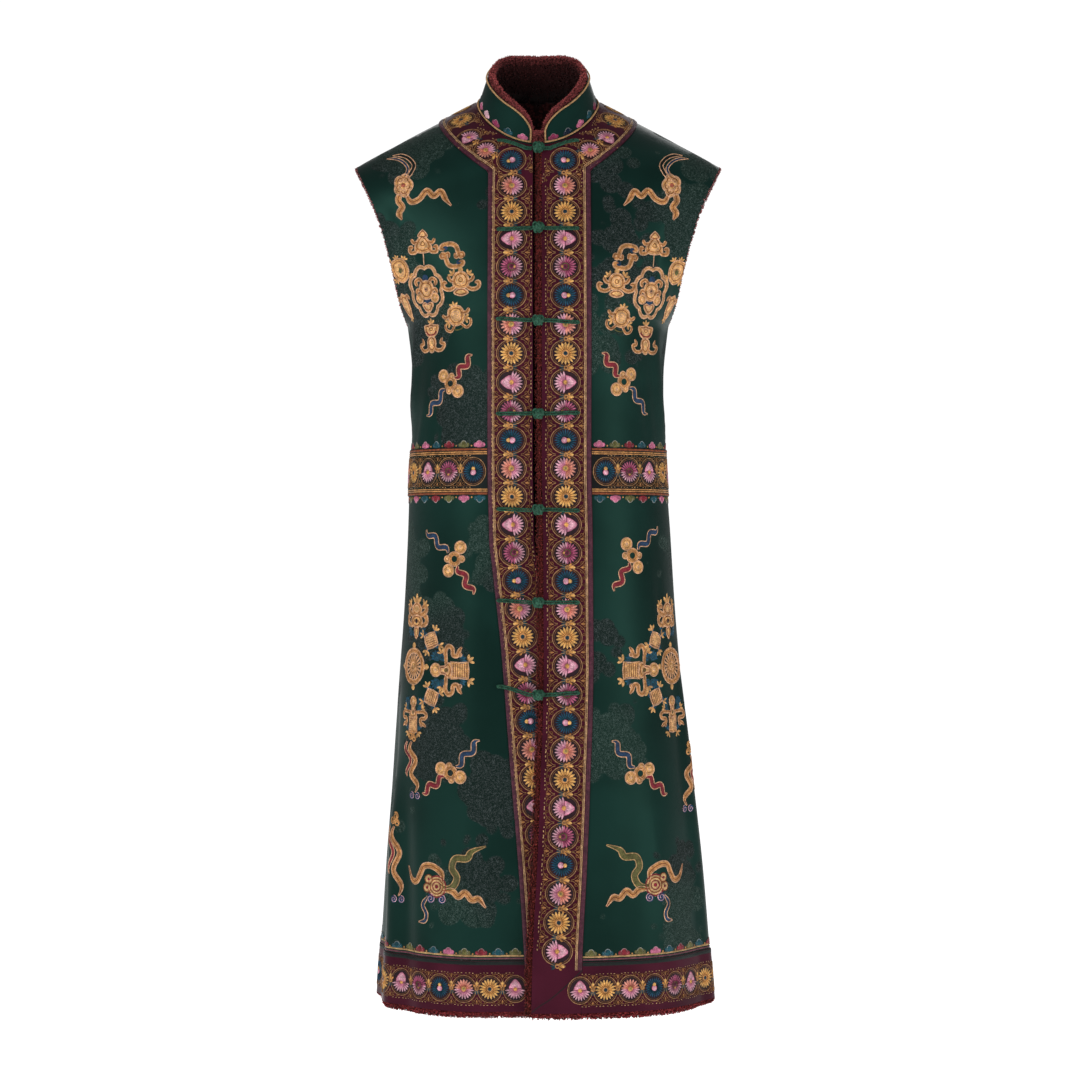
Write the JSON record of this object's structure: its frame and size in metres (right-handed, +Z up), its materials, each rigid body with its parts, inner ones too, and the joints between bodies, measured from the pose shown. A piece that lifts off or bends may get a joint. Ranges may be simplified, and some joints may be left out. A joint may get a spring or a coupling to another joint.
{
  "type": "long sleeveless shearling vest",
  "caption": "Long vest with shearling inside, stand collar, embroidered bands and knotted frogs, held open in the form it takes when worn.",
  "frame": {"origin": "midway between the two points where the shoulder seams meet the collar, where the wearer's shoulders carry it", "axes": "+Z up the wearer, -Y out of the front, +X toward the wearer's left side"},
  "size_m": [0.4424, 0.3034, 1.1398],
  "materials": {
    "velvet": "dark green damask velvet with crinkled grey cloud figures",
    "satin_band": "burgundy satin band with embroidered flower roundels",
    "green_band": "dark green band with embroidered flower roundels",
    "shearling": "short curly burgundy sheepskin pile",
    "gold_cord": "gold twisted cord",
    "green_cord": "green corded frogs"
  },
  "bodies": {
    "root": {"armhole_pile_left": "shearling", "armhole_pile_right": "shearling", "back": "velvet", "collar": "velvet", "collar_pile": "shearling", "collar_piping": "gold_cord", "frog_1_left": "green_cord", "frog_1_right": "green_cord", "frog_2_left": "green_cord", "frog_2_right": "green_cord", "frog_3_left": "green_cord", "frog_3_right": "green_cord", "frog_4_left": "green_cord", "frog_4_right": "green_cord", "frog_5_left": "green_cord", "frog_5_right": "green_cord", "frog_6_left": "green_cord", "frog_6_right": "green_cord", "frog_7_left": "green_cord", "frog_7_right": "green_cord", "front_band_left": "satin_band", "front_band_right": "satin_band", "front_left": "velvet", "front_pile": "shearling", "front_right": "velvet", "hem_band_back": "satin_band", "hem_band_left": "satin_band", "hem_band_right": "satin_band", "hem_pile_back": "shearling", "hem_pile_left": "shearling", "hem_pile_right": "shearling", "knot_1": "green_cord", "knot_2": "green_cord", "knot_3": "green_cord", "knot_4": "green_cord", "knot_5": "green_cord", "knot_6": "green_cord", "knot_7": "green_cord", "neck_band_back": "satin_band", "neck_piping": "gold_cord", "shearling_back": "shearling", "shearling_left": "shearling", "shearling_right": "shearling", "waist_band_back": "green_band", "waist_band_left": "green_band", "waist_band_right": "green_band"}
  },
  "joints": []
}
